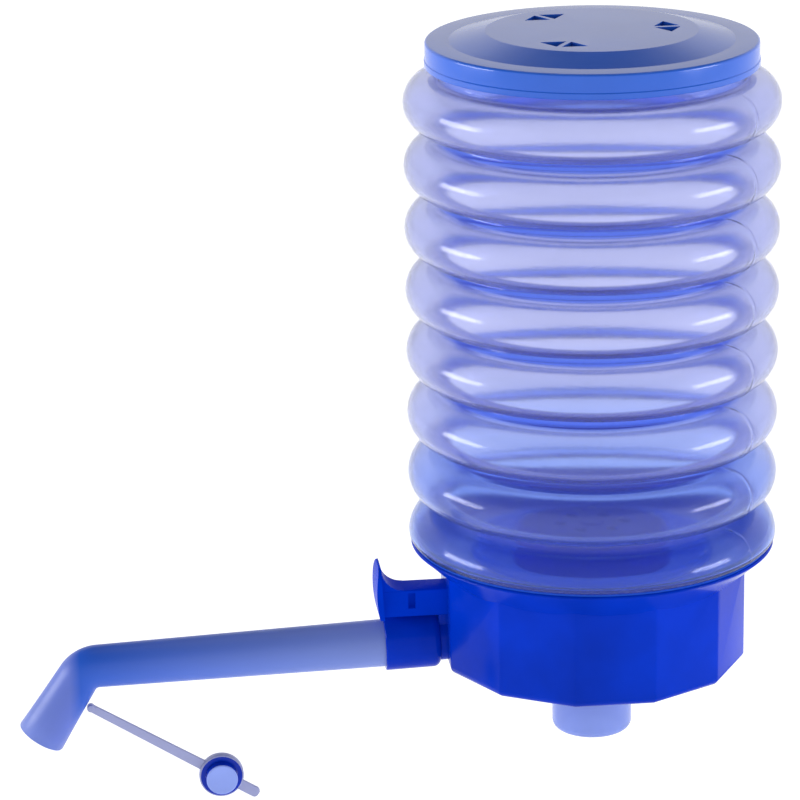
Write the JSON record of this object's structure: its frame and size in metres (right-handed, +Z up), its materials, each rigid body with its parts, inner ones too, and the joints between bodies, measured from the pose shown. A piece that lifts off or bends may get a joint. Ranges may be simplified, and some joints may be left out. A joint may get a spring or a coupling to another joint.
{
  "type": "manual water bottle pump",
  "caption": "Hand press pump for a large water bottle: translucent bellows under a vented cap, on a faceted neck collar with release button, bent swivel spout and strapped plug.",
  "frame": {"origin": "on the pump's axis at the collar's lower rim, where the bottle's neck goes in", "axes": "+Z up along the bellows' axis, the spout points along -X, +Y is the side away from the picture's camera"},
  "size_m": [0.1978, 0.095, 0.2024],
  "materials": {
    "cap_blue": "gloss",
    "collar_blue": "gloss",
    "bellows_clear": "translucent gloss",
    "spout_blue": "translucent satin",
    "strap_clear": "translucent satin",
    "valve_plastic": "satin",
    "seal_rubber": "matt",
    "flap_rubber": "matt",
    "spring_steel": "drawn"
  },
  "bodies": {
    "base": {"base_collar": "collar_blue", "valve_turret": "cap_blue", "outlet_flap_pin": "valve_plastic", "neck_seal": "seal_rubber", "tube_socket": "spout_blue", "arm_o_ring": "flap_rubber", "foot_gasket": "seal_rubber", "bellows": "bellows_clear", "release_spring": "spring_steel"},
    "cap": {"press_cap": "cap_blue", "inlet_valve_plate": "valve_plastic", "inlet_flap_pin": "valve_plastic", "mouth_gasket": "seal_rubber"},
    "inlet_flap": {"inlet_flap": "flap_rubber"},
    "outlet_flap": {"outlet_flap": "flap_rubber"},
    "spout": {"spout": "spout_blue", "spout_o_ring": "flap_rubber"},
    "strap": {"cap_strap": "strap_clear", "spout_plug": "collar_blue"},
    "button": {"release_button": "collar_blue", "release_seal": "flap_rubber", "release_clip": "spring_steel"}
  },
  "joints": [
    {"name": "pump_stroke", "type": "slide", "parent": "base", "child": "cap", "axis": [0, 0, -1], "range_m": [0, 0.06], "stiffness_N_per_m": 650, "deforming": ["bellows"]},
    {"name": "inlet_flap_lift", "type": "slide", "parent": "cap", "child": "inlet_flap", "axis": [0, 0, -1], "range_m": [0, 0.0015], "stiffness_N_per_m": 60},
    {"name": "outlet_flap_lift", "type": "slide", "parent": "base", "child": "outlet_flap", "axis": [0, 0, -1], "range_m": [0, 0.0015], "stiffness_N_per_m": 60},
    {"name": "spout_swivel", "type": "hinge", "parent": "base", "child": "spout", "pos_m": [-0.05479, 0, 0.00582], "axis": [-0.9996, 0, -0.0297], "range_deg": [-90, 90]},
    {"name": "strap_flex", "type": "hinge", "parent": "spout", "child": "strap", "pos_m": [-0.13159, 0, -0.00796], "axis": [0, 1, 0], "range_deg": [-20, 50], "stiffness_Nm_per_rad": 0.02},
    {"name": "release_press", "type": "slide", "parent": "base", "child": "button", "axis": [1, 0, 0], "range_m": [0, 0.002], "stiffness_N_per_m": 900, "deforming": ["release_spring"]}
  ]
}
